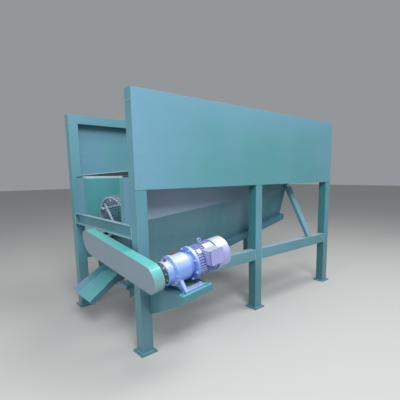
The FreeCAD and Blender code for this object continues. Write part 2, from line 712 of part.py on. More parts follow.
def case_outline(sketch, shrink):
    """Two arcs and two tangent lines round the drum axis and the motor axis."""
    big = cell("guard_radius_drum") - shrink
    small = cell("guard_radius_motor") - shrink
    span_y = cell("frame_width") / 2 + cell("motor_offset")
    span_z = (cell("axis_height") - cell("motor_axis_height")) * math.cos(
        math.radians(cell("drum_tilt")))
    reach = math.hypot(span_y, span_z)
    heading = math.atan2(span_z, span_y)
    swing = math.acos((small - big) / reach)
    ends = []
    for turn in (swing, -swing):
        ray = FreeCAD.Vector(math.cos(heading + turn), math.sin(heading + turn), 0)
        ends.append((FreeCAD.Vector(-span_y, -span_z, 0) + ray * small, ray * big))
    sketch.addGeometry(Part.ArcOfCircle(
        Part.Circle(FreeCAD.Vector(0, 0, 0), FreeCAD.Vector(0, 0, 1), big),
        heading - swing, heading + swing), False)
    sketch.addGeometry(Part.ArcOfCircle(
        Part.Circle(FreeCAD.Vector(-span_y, -span_z, 0), FreeCAD.Vector(0, 0, 1), small),
        heading + swing, heading + 2 * math.pi - swing), False)
    sketch.addGeometry(Part.LineSegment(ends[0][1], ends[0][0]), False)
    sketch.addGeometry(Part.LineSegment(ends[1][0], ends[1][1]), False)
    for first, point, second, other in ((0, 2, 2, 1), (2, 2, 1, 1), (1, 2, 3, 1),
                                        (3, 2, 0, 1)):
        sketch.addConstraint(Sketcher.Constraint("Tangent", first, point, second, other))
    sketch.addConstraint(Sketcher.Constraint("Coincident", 0, 3, -1, 1))
    for kind, args, rule, label in (
            ("Radius", (0, big), "<guard_radius_drum> - %g" % shrink, "drum_end"),
            ("Radius", (1, small), "<guard_radius_motor> - %g" % shrink, "motor_end"),
            ("DistanceX", (1, 3, -1, 1, span_y), GUARD_ACROSS, "across"),
            ("DistanceY", (1, 3, -1, 1, span_z), GUARD_RISE, "rise")):
        number = sketch.addConstraint(Sketcher.Constraint(kind, *args))
        sketch.renameConstraint(number, label)
        bind(sketch, {"Constraints.%s" % label: rule})


guard = new_body("chain_guard")
outer = sketch_on(guard, "guard_outline", "YZ_Plane", GUARD_BACK)
case_outline(outer, 0.0)
pad(guard, outer, "guard_case", "<guard_depth>", reverse=True)
inner = sketch_on(guard, "guard_hollow", "YZ_Plane", "%s - <guard_wall>" % GUARD_BACK)
case_outline(inner, cell("guard_wall"))
hollow = guard.newObject("PartDesign::Pocket", "guard_room")
hollow.Profile = inner
bind(hollow, {"Length": "<guard_depth> - 2 * <guard_wall>"})
hollow.Reversed = False
holes = sketch_on(guard, "guard_holes", "YZ_Plane", GUARD_BACK)
guard_across = cell("frame_width") / 2 + cell("motor_offset")
guard_rise = cell("axis_height") - cell("motor_axis_height")
for number, centre in enumerate(("drum", "motor")):
    holes.addGeometry(Part.Circle(
        FreeCAD.Vector(-number * guard_across, -number * guard_rise, 0),
        FreeCAD.Vector(0, 0, 1), cell("shaft_radius")), False)
holes.addConstraint(Sketcher.Constraint("Coincident", 0, 3, -1, 1))
for kind, args, rule, label in (
        ("Radius", (0, cell("shaft_radius")), "<shaft_radius> + <guard_hole_gap>", "drum_hole"),
        ("Radius", (1, cell("shaft_radius")), "<shaft_radius> + <guard_hole_gap>", "motor_hole"),
        ("DistanceX", (1, 3, -1, 1, guard_across), GUARD_ACROSS, "across"),
        ("DistanceY", (1, 3, -1, 1, guard_rise), GUARD_RISE, "rise")):
    number = holes.addConstraint(Sketcher.Constraint(kind, *args))
    holes.renameConstraint(number, label)
    bind(holes, {"Constraints.%s" % label: rule})
opened = guard.newObject("PartDesign::Pocket", "guard_hole_cut")
opened.Profile = holes
bind(opened, {"Length": "<guard_wall>"})
tilt(guard, *AXIS_START)
finished(guard, "chain_guard")

# Brackets that hold the chain guard to the front beam and to the front right post


def guard_x(z):
    """Where the guard's rear face stands at a height."""
    return "(%s - <guard_gap> / %s - (%s - <axis_height>) * %s)" % (FRONT, TILT_COS, z,
                                                                    TILT_TAN)


BEAM_LIP = "(<axis_height> + <beam_depth> / 2 * %s + <bearing_drop> + <beam_web>)" % TILT_TAN
brackets = []
for name, centre_y, back_x, z in (
        ("guard_bracket_beam", "(%s - <guard_bracket_shift>)" % MIDDLE,
         "(%s + <beam_depth> - <beam_web>)" % FRONT, BEAM_LIP),
        ("guard_bracket_post", "0", FRONT, "(<axis_height> - <guard_radius_drum>)")):
    high = "(%s + <bracket_height>)" % z
    brackets.append(prism(name, "XZ_Plane", ((guard_x(z), z), (back_x, z), (back_x, high),
                                             (guard_x(high), high)),
                          "<bracket_width>", offset="-(%s)" % centre_y, both=True))
finished(joined("guard_brackets", brackets), "guard_brackets")

# Collar that joins the guard to the reducer's nose
DRIVE_SHIFT = "((<axis_height> - <motor_axis_height>) * %s)" % TILT_SIN
collar_front = "(%s - <guard_gap>)" % DRIVE_SHIFT
collar = turned("guard_collar", (
    (collar_front, "<shaft_radius> + <guard_hole_gap>"),
    ("<drive_start>", "<shaft_radius> + <guard_hole_gap>"),
    ("<drive_start>", "<guard_collar_radius>"), (collar_front, "<guard_collar_radius>")))
tilt(collar, *MOTOR_START)
finished(collar, "guard_collar")

# Gearmotor: reducer, adapter, finned motor and fan cover stand in line on the drive axis
NOSE_END = "(<drive_start> + <nose_length>)"
RIM_END = "(%s + <rim_thick>)" % NOSE_END
GEAR_END = "(%s + <gear_length>)" % RIM_END
FLANGE_END = "(%s + <flange_thick>)" % GEAR_END
MOTOR_END = "(%s + <motor_length>)" % FLANGE_END
COVER_END = "(%s + <cover_length>)" % MOTOR_END

housing = turned("reducer_housing", (
    ("<drive_start>", "<shaft_radius> + <running_clearance>"),
    ("%s + <shaft_end_gap>" % NOSE_END, "<shaft_radius> + <running_clearance>"),
    ("%s + <shaft_end_gap>" % NOSE_END, "0"),
    (GEAR_END, "0"),
    (GEAR_END, "<bell_radius>"),
    ("%s - <bell_length>" % GEAR_END, "<gear_radius>"),
    (RIM_END, "<gear_radius>"),
    (RIM_END, "<rim_radius>"),
    (NOSE_END, "<rim_radius>"),
    ("%s - <nose_step>" % NOSE_END, "<nose_radius>"),
    ("<drive_start> + <nose_step>", "<nose_radius>"),
    ("<drive_start>", "<nose_radius> - <nose_step>")))
tilt(housing, *MOTOR_START)
finished(housing, "reducer_housing")

OUTPUT_FRONT = "(%s - %s)" % (SHAFT_FRONT, DRIVE_SHIFT)
shaft_out = turned("output_shaft", (
    ("-%s" % OUTPUT_FRONT, "0"), (NOSE_END, "0"),
    (NOSE_END, "<shaft_radius>"), ("-%s" % OUTPUT_FRONT, "<shaft_radius>")))
tilt(shaft_out, *MOTOR_START)
finished(shaft_out, "output_shaft")

flange = turned("motor_flange", (
    (GEAR_END, "0"), (FLANGE_END, "0"),
    (FLANGE_END, "<flange_radius>"), (GEAR_END, "<flange_radius>")))
tilt(flange, *MOTOR_START)
finished(flange, "motor_flange")

FINS = 36
motor = new_body("motor_body")
barrel = sketch_on(motor, "motor_outline", "XZ_Plane")
polygon(barrel, ((FLANGE_END, "0"), (MOTOR_END, "0"),
                 (MOTOR_END, "<motor_radius> - <fin_height>"),
                 (FLANGE_END, "<motor_radius> - <fin_height>")))
core = motor.newObject("PartDesign::Revolution", "motor_core")
core.Profile = barrel
core.ReferenceAxis = (barrel, ["H_Axis"])
core.Angle = 360
fin_outline = sketch_on(motor, "fin_outline", "YZ_Plane", FLANGE_END)
polygon(fin_outline, (("-<fin_thick> / 2", "<motor_radius> - 2 * <fin_height>"),
                      ("<fin_thick> / 2", "<motor_radius> - 2 * <fin_height>"),
                      ("<fin_thick> / 2", "<motor_radius>"),
                      ("-<fin_thick> / 2", "<motor_radius>")))
fin = pad(motor, fin_outline, "fin", "<motor_length>")
doc.recompute()
fins = motor.newObject("PartDesign::PolarPattern", "fins")
fins.Originals = [fin]
fins.Axis = (barrel, ["H_Axis"])
fins.Angle = 360
fins.Occurrences = FINS
motor.Tip = fins
tilt(motor, *MOTOR_START)
finished(motor, "motor_body")

cover = turned("fan_cover", (
    (MOTOR_END, "0"), (COVER_END, "0"),
    (COVER_END, "<cover_radius> - <cover_round>"),
    ("%s - <cover_round>" % COVER_END, "<cover_radius>"),
    (MOTOR_END, "<cover_radius>")))
tilt(cover, *MOTOR_START)
finished(cover, "fan_cover")

BOX_START = "(%s + <box_start>)" % FLANGE_END
box_case = block("terminal_case", "<box_length>", "<motor_radius> / 2 + <box_depth>",
                 "<box_height>", BOX_START, "-<motor_radius> - <box_depth>",
                 "<box_lift> - <box_height> / 2")
box_room = doc.addObject("Part::Cylinder", "terminal_room")
bind(box_room, {"Radius": "sqrt(<motor_radius> ^ 2 + (<fin_thick> / 2) ^ 2)",
                "Height": COVER_END})
box_room.Placement = FreeCAD.Placement(
    FreeCAD.Vector(0, 0, 0), FreeCAD.Rotation(FreeCAD.Vector(0, 1, 0), 90))
terminal = cut("terminal_box", box_case, box_room)
tilt(terminal, *MOTOR_START)
finished(terminal, "terminal_box")

eye = new_body("lifting_eye")
eye_ring = sketch_on(eye, "eye_outline", "XZ_Plane")
for radius in (20, 10):
    eye_ring.addGeometry(Part.Circle(FreeCAD.Vector(0, 30, 0), FreeCAD.Vector(0, 0, 1),
                                     radius), False)
for index, label, rule in ((0, "eye_outer", "<eye_radius>"),
                           (1, "eye_inner", "<eye_radius> / 2")):
    eye_ring.addConstraint(Sketcher.Constraint("PointOnObject", index, 3, -2))
    number = eye_ring.addConstraint(Sketcher.Constraint("Radius", index, 20.0 / (index + 1)))
    eye_ring.renameConstraint(number, label)
    bind(eye_ring, {"Constraints." + label: rule})
    number = eye_ring.addConstraint(Sketcher.Constraint("DistanceY", -1, 1, index, 3, 30))
    eye_ring.renameConstraint(number, label + "_height")
    bind(eye_ring, {"Constraints.%s_height" % label: "<eye_radius> * 1.4"})
pad(eye, eye_ring, "eye_pad", "<eye_radius> / 2", both=True)
neck = sketch_on(eye, "eye_neck", "XZ_Plane")
polygon(neck, (("-<eye_radius> / 2", "0"), ("<eye_radius> / 2", "0"),
               ("<eye_radius> / 2", "<eye_radius> * 0.6"),
               ("-<eye_radius> / 2", "<eye_radius> * 0.6")))
pad(eye, neck, "eye_neck_pad", "<eye_radius> / 2", both=True)
tilt(eye, *on_axis(*MOTOR_START, "%s + <eye_start>" % FLANGE_END, "<motor_radius>"))
finished(eye, "lifting_eye")

# Reducer foot: two legs with a middle rib on two foot strips
foot = new_body("reducer_foot")
FOOT_START = RIM_END
PLATFORM_LIFT = "((<platform_height> - <motor_axis_height>) * %s)" % TILT_COS
legs = sketch_on(foot, "foot_outline", "YZ_Plane", FOOT_START)
polygon(legs, (("-<foot_reach>", PLATFORM_LIFT),
               ("-<foot_reach> + <foot_strip>", PLATFORM_LIFT),
               ("-<foot_reach> + <foot_strip>", "%s + <foot_strip_thick>" % PLATFORM_LIFT),
               ("-<foot_arch>", "-<gear_radius> - <foot_strip_thick>"),
               ("<foot_arch>", "-<gear_radius> - <foot_strip_thick>"),
               ("<foot_reach> - <foot_strip>", "%s + <foot_strip_thick>" % PLATFORM_LIFT),
               ("<foot_reach> - <foot_strip>", PLATFORM_LIFT),
               ("<foot_reach>", PLATFORM_LIFT),
               ("<foot_reach>", "%s + <foot_strip_thick>" % PLATFORM_LIFT),
               ("<gear_radius> * 0.75", "-<gear_radius> * 0.5"),
               ("-<gear_radius> * 0.75", "-<gear_radius> * 0.5"),
               ("-<foot_reach>", "%s + <foot_strip_thick>" % PLATFORM_LIFT)))
pad(foot, legs, "foot_legs", "<foot_web>")
strips = sketch_on(foot, "strip_outline", "YZ_Plane", FOOT_START)
polygon(strips, (("-<foot_reach>", PLATFORM_LIFT),
                 ("-<foot_reach> + <foot_strip>", PLATFORM_LIFT),
                 ("-<foot_reach> + <foot_strip>", "%s + <foot_strip_thick>" % PLATFORM_LIFT),
                 ("-<foot_reach>", "%s + <foot_strip_thick>" % PLATFORM_LIFT)))
pad(foot, strips, "foot_strip_outer", "<foot_length>")
strips = sketch_on(foot, "strip_outline_inner", "YZ_Plane", FOOT_START)
polygon(strips, (("<foot_reach> - <foot_strip>", PLATFORM_LIFT),
                 ("<foot_reach>", PLATFORM_LIFT),
                 ("<foot_reach>", "%s + <foot_strip_thick>" % PLATFORM_LIFT),
                 ("<foot_reach> - <foot_strip>", "%s + <foot_strip_thick>" % PLATFORM_LIFT)))
pad(foot, strips, "foot_strip_inner", "<foot_length>")
room = sketch_on(foot, "gear_room", "YZ_Plane", FOOT_START)
room.addGeometry(Part.Circle(FreeCAD.Vector(0, 0, 0), FreeCAD.Vector(0, 0, 1),
                             cell("gear_radius")), False)
room.addConstraint(Sketcher.Constraint("Coincident", 0, 3, -1, 1))
number = room.addConstraint(Sketcher.Constraint("Radius", 0, cell("gear_radius")))
room.renameConstraint(number, "room_radius")
bind(room, {"Constraints.room_radius": "<gear_radius>"})
room_cut = foot.newObject("PartDesign::Pocket", "gear_room_cut")
room_cut.Profile = room
room_cut.Type = "ThroughAll"
room_cut.Midplane = True
tilt(foot, *MOTOR_START)
finished(foot, "reducer_foot")

# Drive platform: a folded plate that leans with the drive, welded to the low rail
platform = new_body("drive_platform")
top = sketch_on(platform, "platform_top", "XY_Plane", "-<platform_thick>")
RUN = "(<platform_end> - <platform_start>)"
polygon(top, (("0", "-<platform_reach>"), (RUN, "-<platform_reach>"), (RUN, "0"), ("0", "0")))
pad(platform, top, "platform_plate", "<platform_thick>")
for label, corners in (
        ("outer", (("0", "-<platform_reach>"), (RUN, "-<platform_reach>"),
                   (RUN, "-<platform_reach> + <platform_thick>"),
                   ("0", "-<platform_reach> + <platform_thick>"))),
        ("front", (("0", "-<platform_reach>"), ("<platform_thick>", "-<platform_reach>"),
                   ("<platform_thick>", "0"), ("0", "0"))),
        ("rear", (("%s - <platform_thick>" % RUN, "-<platform_reach>"),
                  (RUN, "-<platform_reach>"), (RUN, "0"),
                  ("%s - <platform_thick>" % RUN, "0")))):
    fold = sketch_on(platform, "platform_fold_" + label, "XY_Plane", "-<platform_skirt>")
    polygon(fold, corners)
    pad(platform, fold, "platform_skirt_" + label, "<platform_skirt>")
tilt(platform, *on_axis(FRONT, RIGHT, "<platform_height>", "<platform_start>"))
finished(platform, "drive_platform")

# Gusset from the foot of the front right post to the platform's outer corner
gusset_x = "(%s + <post_size>)" % FRONT
low_z = "(<platform_height> + <platform_start> * %s - <platform_skirt> * %s)" % (
    TILT_SIN, TILT_COS)
finished(prism("platform_gusset", "YZ_Plane", (
    (RIGHT, "<gusset_foot>"),
    ("%s - <platform_reach>" % RIGHT, "%s - <platform_skirt>" % low_z),
    ("%s - <platform_reach>" % RIGHT, low_z),
    (RIGHT, low_z)), "<gusset_thick>", offset="%s - <gusset_thick>" % gusset_x),
    "platform_gusset")

# Cross bar under the chute's tray, mitred between the hopper plates
def plate_half(distance, z):
    """Half the clear width between the hopper plates so far behind the front face."""
    return "(%s - (%s - %s) * %s)" % (SKIRT_HALF, fold_z(distance), z, LEAN)


sections = []
for distance in ("<hopper_front>", "(<hopper_front> + <chute_bar_size>)"):
    low = "<edge_front> + (%s - <hopper_front>) * %s" % (distance, EDGE_RISE)
    high = tray_z(distance)
    sections.append(("(%s + %s)" % (FRONT, distance), (
        ("%s - %s" % (MIDDLE, plate_half(distance, "(%s)" % low)), low),
        ("%s + %s" % (MIDDLE, plate_half(distance, "(%s)" % low)), low),
        ("%s + %s" % (MIDDLE, plate_half(distance, high)), high),
        ("%s - %s" % (MIDDLE, plate_half(distance, high)), high))))
finished(lofted("chute_bar", sections), "chute_bar")

doc.recompute()
troubles = []
for thing in doc.Objects:
    if "Invalid" in thing.State or "Error" in thing.State:
        troubles.append("%s %s" % (thing.Name, thing.State))
for thing in made:
    if thing.Shape.isNull() or not thing.Shape.isValid():
        troubles.append("%s has no valid shape" % thing.Label)
if troubles:
    raise RuntimeError("; ".join(troubles))

os.makedirs("parts", exist_ok=True)
for thing in made:
    thing.Shape.exportStep("parts/%s.step" % thing.Label)
print("%d pieces written" % len(made))
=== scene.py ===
# %% [markdown]
# # A stationary trommel screen
#
# A trommel screen sorts rubble. Stones go into the raised end of a slowly turning, tilted drum,
# the fine ones fall through its mesh, and the coarse ones leave over a chute at the low end.
# The shape comes from the CAD model. This lesson gives it paint, wear, mesh, bolts and welds,
# and then light and a camera.

# %% Load the CAD model
import json
import math

import bmesh
import bpy
from mathutils import Matrix, Vector


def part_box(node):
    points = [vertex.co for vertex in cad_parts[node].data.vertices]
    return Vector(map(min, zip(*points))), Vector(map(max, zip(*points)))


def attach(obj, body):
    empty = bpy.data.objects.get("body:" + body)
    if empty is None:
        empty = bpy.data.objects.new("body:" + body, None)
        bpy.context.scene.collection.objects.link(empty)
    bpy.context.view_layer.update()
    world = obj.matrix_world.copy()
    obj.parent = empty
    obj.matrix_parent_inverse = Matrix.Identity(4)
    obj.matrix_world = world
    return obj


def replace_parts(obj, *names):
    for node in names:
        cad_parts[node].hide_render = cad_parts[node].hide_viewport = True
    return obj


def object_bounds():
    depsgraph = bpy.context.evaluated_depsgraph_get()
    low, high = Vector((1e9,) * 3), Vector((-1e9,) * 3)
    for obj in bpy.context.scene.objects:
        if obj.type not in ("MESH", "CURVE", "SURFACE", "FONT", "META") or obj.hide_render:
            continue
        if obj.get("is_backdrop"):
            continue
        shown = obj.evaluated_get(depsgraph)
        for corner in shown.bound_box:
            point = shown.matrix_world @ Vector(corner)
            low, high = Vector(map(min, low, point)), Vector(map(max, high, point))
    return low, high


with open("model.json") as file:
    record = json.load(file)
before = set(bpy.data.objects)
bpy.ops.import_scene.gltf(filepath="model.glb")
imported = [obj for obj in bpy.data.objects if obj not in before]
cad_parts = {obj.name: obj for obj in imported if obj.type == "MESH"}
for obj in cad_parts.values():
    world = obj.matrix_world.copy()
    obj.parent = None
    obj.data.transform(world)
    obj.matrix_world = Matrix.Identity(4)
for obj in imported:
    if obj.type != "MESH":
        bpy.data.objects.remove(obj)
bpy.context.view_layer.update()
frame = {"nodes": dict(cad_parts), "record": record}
nodes = frame["nodes"]

# %% [markdown]
# ## Shader sums as plain sums
#
# A material is a small sum over positions, noises and masks. Drawn as nodes such a sum is hard
# to read, so this class wraps a socket and lets Python's own operators add the Math nodes.
# `1 - mask` works too, because the reflected operators are there as well. Plain numbers never
# become nodes: they are set on the sockets.

# %% A wrapped socket
class Wire:
    def __init__(self, sheet, socket):
        self.sheet = sheet
        self.socket = socket

    def sum_with(self, operation, first, second=None):
        values = {0: first} if second is None else {0: first, 1: second}
        return self.sheet.node("ShaderNodeMath", {"operation": operation}, values)

    def __add__(self, other):
        return self.sum_with("ADD", self, other)

    def __radd__(self, other):
        return self.sum_with("ADD", other, self)

    def __sub__(self, other):
        return self.sum_with("SUBTRACT", self, other)

    def __rsub__(self, other):
        return self.sum_with("SUBTRACT", other, self)

    def __mul__(self, other):
        return self.sum_with("MULTIPLY", self, other)

    def __rmul__(self, other):
        return self.sum_with("MULTIPLY", other, self)

    def highest(self, other):
        return self.sum_with("MAXIMUM", self, other)

    def size(self):
        return self.sum_with("ABSOLUTE", self)

    def ramp(self, start, end):
        """0 at start, 1 at end and a straight rise between."""
        return self.sheet.node("ShaderNodeMapRange", {},
                               {"Value": self, "From Min": start, "From Max": end})

    def part(self, name):
        """One output of the node that this wire comes from."""
        return Wire(self.sheet, self.socket.node.outputs[name])


# %% [markdown]
# ## One sheet of nodes per finish
#
# Every node is made by one method: its type, its settings, and what goes into its sockets. The
# method accepts wires, numbers and colours, so a recipe reads from top to bottom. Colours are
# mixed with Mix nodes, since a Math node would turn them grey.

# %% A material being written
class Sheet:
    def __init__(self, name):
        self.material = bpy.data.materials.new(name)
        self.material.use_nodes = True
        self.tree = self.material.node_tree
        self.shader = self.tree.nodes["Principled BSDF"]
        self.place = self.node("ShaderNodeNewGeometry")

    def node(self, kind, settings=None, values=None, output=0):
        made = self.tree.nodes.new(kind)
        for name, value in (settings or {}).items():
            setattr(made, name, value)
        for name, value in (values or {}).items():
            self.feed(made.inputs[name], value)
        return Wire(self, made.outputs[output])

    def feed(self, socket, value):
        if isinstance(value, Wire):
            self.tree.links.new(value.socket, socket)
        elif socket.type == "RGBA" and len(value) == 3:
            socket.default_value = (*value, 1.0)
        else:
            socket.default_value = value

    def mix(self, mask, first, second):
        """The first colour where the mask is 0 and the second where it is 1."""
        made = self.tree.nodes.new("ShaderNodeMix")
        made.data_type = "RGBA"
        for socket, value in ((made.inputs["Factor"], mask), (made.inputs[6], first),
                              (made.inputs[7], second)):
            self.feed(socket, value)
        return Wire(self, made.outputs[2])

    def noise(self, scale, detail=3.0, where=None):
        values = {"Scale": scale, "Detail": detail}
        values["Vector"] = where or self.place.part("Position")
        return self.node("ShaderNodeTexNoise", {}, values)

    def axes(self):
        """The X, Y and Z of the place on the surface."""
        split = self.node("ShaderNodeSeparateXYZ", {}, {"Vector": self.place.part("Position")})
        return [split.part(name) for name in "XYZ"]

    def bump(self, height, strength, distance):
        return self.node("ShaderNodeBump", {},
                         {"Height": height, "Strength": strength, "Distance": distance})

    def finish(self, **values):
        for name, value in values.items():
            self.feed(self.shader.inputs[name.replace("_", " ").title()], value)
        return self.material


def srgb(red, green, blue):
    """A colour as a paint chart gives it, turned into the linear values that a shader uses."""
    return tuple((value / 255 / 12.92) if value < 10.3 else ((value / 255 + 0.055) / 1.055) ** 2.4
                 for value in (red, green, blue))


# %% [markdown]
# ## Paint
#
# The frame and its sheets wear one blue-green coat that was sprayed on after welding. A real
# coat is never one colour: it fades in broad clouds, carries faint runs where rain went down,
# gathers dust on its upper faces and wears light along the edges. The edges are found by
# comparing the true normal with one that is rounded over a few millimetres: they differ only
# near an edge. The rounded normal also goes to the shader, so that every folded edge catches
# a thin line of light as bent sheet does. Some finishes also carry painted light: a painted
# highlight on faces that look up, painted shade on faces that look toward the low end, and a
# painted sky reflection along a sheet's top and ends.

# %% Painted steel
DIRT = srgb(60, 92, 100)
DUST = srgb(176, 182, 176)
WORN_EDGE_AND_HIGHLIGHT = srgb(186, 208, 212)
REFLECTION_MIDDLE_X = 1.6


def painted(name, colour, shade, dust=0.2, gloss=0.36, wear=0.5, front=None, metal=0.0,
            streaks=(16.0, 16.0, 0.9), coat_weight=0.25, top_highlight=None, sky_reflection=None):
    """Sprayed paint. Three colours can be given: the front colour is a painted shade on faces that
    look toward the low end, the top colour a painted highlight on faces that look up, and the
    reflection colour a painted sky reflection over the sheet's top and ends."""
    sheet = Sheet(name)
    position, normal = sheet.place.part("Position"), sheet.place.part("Normal")
    rounded = sheet.node("ShaderNodeBevel", {"samples": 4}, {"Radius": 0.004})
    edge = 1 - sheet.node("ShaderNodeVectorMath", {"operation": "DOT_PRODUCT"},
                          {0: rounded, 1: normal}, output=1)
    # Edge wear. Where wear is set high, as on the guard, the mask also makes a painted highlight
    # along the edges.
    wear_and_edge_highlight = edge.ramp(0.02, 0.2) * sheet.noise(38.0, 5.0).ramp(0.42, 0.62) * wear
    clouds = sheet.noise(1.7, 4.0).ramp(0.35, 0.68)
    grain = sheet.noise(60.0, 2.0)
    stretched = sheet.node("ShaderNodeVectorMath", {"operation": "MULTIPLY"},
                           {0: position, 1: streaks})
    runs = sheet.noise(1.0, 4.0, stretched).ramp(0.5, 0.8) * 0.07
    x, y, z = sheet.axes()
    splashed = z.ramp(0.8, 0.3) * 0.4
    facing = sheet.node("ShaderNodeSeparateXYZ", {}, {"Vector": normal})
    dusty = facing.part("Z").ramp(0.55, 1.0) * sheet.noise(9.0, 5.0).ramp(0.35, 0.75) * dust
    coat = sheet.mix(clouds, colour, shade)
    # Painted shade: faces that look toward the low end take the darker front colour.
    if front:
        coat = sheet.mix((0 - facing.part("X")).ramp(0.4, 0.95), coat, front)
    # Painted sky reflection: a paler colour over the sheet's top and its two ends.
    if sky_reflection:
        high = z.ramp(1.85, 2.15) * 0.6
        ends = (x - REFLECTION_MIDDLE_X).size().ramp(0.8, 1.7) * 0.8
        coat = sheet.mix(high.highest(ends), coat, sky_reflection)
    # Painted highlight: faces that look up are mixed toward a pale colour.
    if top_highlight:
        coat = sheet.mix(facing.part("Z").ramp(0.1, 0.85), coat, top_highlight)
    coat = sheet.mix(runs.highest(splashed), coat, DIRT)
    coat = sheet.mix(dusty, coat, DUST)
    return sheet.finish(
        base_color=sheet.mix(wear_and_edge_highlight, coat, WORN_EDGE_AND_HIGHLIGHT),
        roughness=gloss + grain * 0.16 + dusty * 0.4,
        metallic=metal,
        coat_weight=coat_weight,
        normal=sheet.node("ShaderNodeBump", {}, {"Height": grain, "Strength": 0.12,
                                                 "Distance": 0.001, "Normal": rounded}))


# %% [markdown]
# The skirts and the lower hopper plates carry painted light: their side faces change colour
# along the machine as a painted reflection. Thin runs of dust lie over them. The chute's floor is
# scoured bright by the stones that slide over it, and its walls keep their paint, with a painted
# shade that darkens their outer faces.

# %% Dusty and scoured sheets
DUST_RUNS = srgb(150, 164, 172)
CHUTE_MIDDLE_Y = 0.785


def graded_reflection(name, near, far, other, runs_seen=0.12):
    """Sheet paint with runs of dust, whose side faces carry painted light: a painted reflection
    that changes colour along the machine.
    """
    sheet = Sheet(name)
    along = sheet.axes()[0].ramp(0.1, 1.9)
    facing = sheet.node("ShaderNodeSeparateXYZ", {}, {"Vector": sheet.place.part("Normal")})
    stretched = sheet.node("ShaderNodeVectorMath", {"operation": "MULTIPLY"},
                           {0: sheet.place.part("Position"), 1: (11.0, 5.0, 0.8)})
    runs = sheet.noise(1.0, 5.0, stretched).ramp(0.45, 0.8) * runs_seen
    coat = sheet.mix(facing.part("Y").size().ramp(0.6, 0.9), other, sheet.mix(along, near, far))
    grain = sheet.noise(60.0, 2.0)
    return sheet.finish(base_color=sheet.mix(runs, coat, DUST_RUNS),
                        roughness=0.42 + runs * 0.3, coat_weight=0.2,
                        normal=sheet.bump(grain, 0.12, 0.001))


def scoured(name, coat, bare, inside, outside_shade):
    """A chute: its floor is rubbed down to bright steel in streaks, its walls keep their paint,
    and their outer faces are darker as painted shade.
    """
    sheet = Sheet(name)
    stretched = sheet.node("ShaderNodeVectorMath", {"operation": "MULTIPLY"},
                           {0: sheet.place.part("Position"), 1: (2.0, 60.0, 2.0)})
    streaks = sheet.noise(1.0, 6.0, stretched)
    rubbed = streaks.ramp(0.46, 0.62) * 0.4
    facing = sheet.node("ShaderNodeSeparateXYZ", {}, {"Vector": sheet.place.part("Normal")})
    x, y = sheet.axes()[:2]
    wall = facing.part("Y").size().ramp(0.6, 0.9)
    # Painted shade on the outer faces of the walls.
    outer = ((y - CHUTE_MIDDLE_Y) * facing.part("Y")).ramp(0.0, 0.01)
    walls = sheet.mix(outer, sheet.mix(x.ramp(-0.15, 0.05), inside, coat), outside_shade)
    rubbed = rubbed * (1 - wall)
    return sheet.finish(base_color=sheet.mix(wall, sheet.mix(rubbed, coat, bare), walls),
                        metallic=rubbed * 0.6, roughness=0.5 - rubbed * 0.15,
                        normal=sheet.bump(streaks, 0.2, 0.001))


def plain(name, colour, rough=0.5, metal=0.0):
    """One colour with a little uneven gloss, for small things."""
    sheet = Sheet(name)
    grain = sheet.noise(90.0, 3.0)
    return sheet.finish(base_color=sheet.mix(grain, colour, tuple(v * 0.8 for v in colour)),
                        roughness=rough + grain * 0.12 - 0.06, metallic=metal)


# %% Finishes for the CAD nodes
FRAME = (srgb(98, 150, 166), srgb(84, 140, 150))
SHEET = (srgb(96, 150, 164), srgb(84, 148, 154))
# A painted highlight for the upward faces of the frame and posts.
FRAME_TOP_HIGHLIGHT = srgb(158, 190, 204)
PAINTS = {
    "frame_paint": painted("frame_paint", *FRAME, top_highlight=FRAME_TOP_HIGHLIGHT),
    # The side sheets carry a painted sky reflection along their top and ends.
    "sheet_paint": painted("sheet_paint", *SHEET, wear=0.35, streaks=(1.4, 18.0, 14.0),
                           sky_reflection=srgb(112, 156, 184)),
    # The guard: a painted highlight on its turquoise top, painted shade on its front faces, and
    # edge wear set so high that it also makes a painted highlight along its edges.
    "guard_paint": painted("guard_paint", srgb(112, 162, 168), srgb(98, 148, 156), gloss=0.24,
                           front=srgb(112, 138, 156), top_highlight=srgb(92, 192, 188),
                           coat_weight=0.8, wear=1.6),
    # Painted light: the drum's paint is made pale so that it looks lit, though it lies in shade.
    "drum_paint": painted("drum_paint", srgb(190, 196, 222), srgb(150, 162, 192), gloss=0.4),
    # Reducer and motor: a painted highlight on the tops of their housings.
    "reducer_paint": painted("reducer_paint", srgb(118, 156, 226), srgb(96, 132, 212), gloss=0.16,
                             wear=0.12, coat_weight=1.0, top_highlight=srgb(190, 212, 240)),
    "motor_paint": painted("motor_paint", srgb(158, 164, 218), srgb(136, 142, 206), gloss=0.18,
                           wear=0.12, coat_weight=1.0, top_highlight=srgb(208, 212, 236)),
    "cast_dark": painted("cast_dark", srgb(40, 62, 72), srgb(28, 44, 54)),
    "shaft_steel": painted("shaft_steel", srgb(150, 156, 164), srgb(118, 124, 132), metal=0.8),
    "screen_steel": painted("screen_steel", srgb(128, 150, 168), srgb(96, 122, 140),
                            gloss=0.4),
}
for row in frame["record"]["subparts"]:
    piece = nodes[row["node"]]
    piece.data.materials.clear()
    piece.data.materials.append(PAINTS[row["material_slot"]])
# The middle and rear posts: painted shade on the faces that look toward the low end, and the
# painted highlight on their tops.
SHADED = painted("post_paint", *FRAME, front=srgb(60, 124, 132), top_highlight=FRAME_TOP_HIGHLIGHT)
for name in ("post_right_middle", "post_right_rear", "post_left_middle", "post_left_rear"):
    nodes[name].data.materials[0] = SHADED
# Painted shade: the hopper's edge angles are darker, as their undersides lie in shadow.
EDGE_SHADE = painted("angle_paint", srgb(74, 122, 144), srgb(66, 114, 132))
for name in ("hopper_edge_right", "hopper_edge_left"):
    nodes[name].data.materials[0] = EDGE_SHADE
nodes["base_plates"].data.materials[0] = painted("plate_paint", *FRAME, dust=0.1)
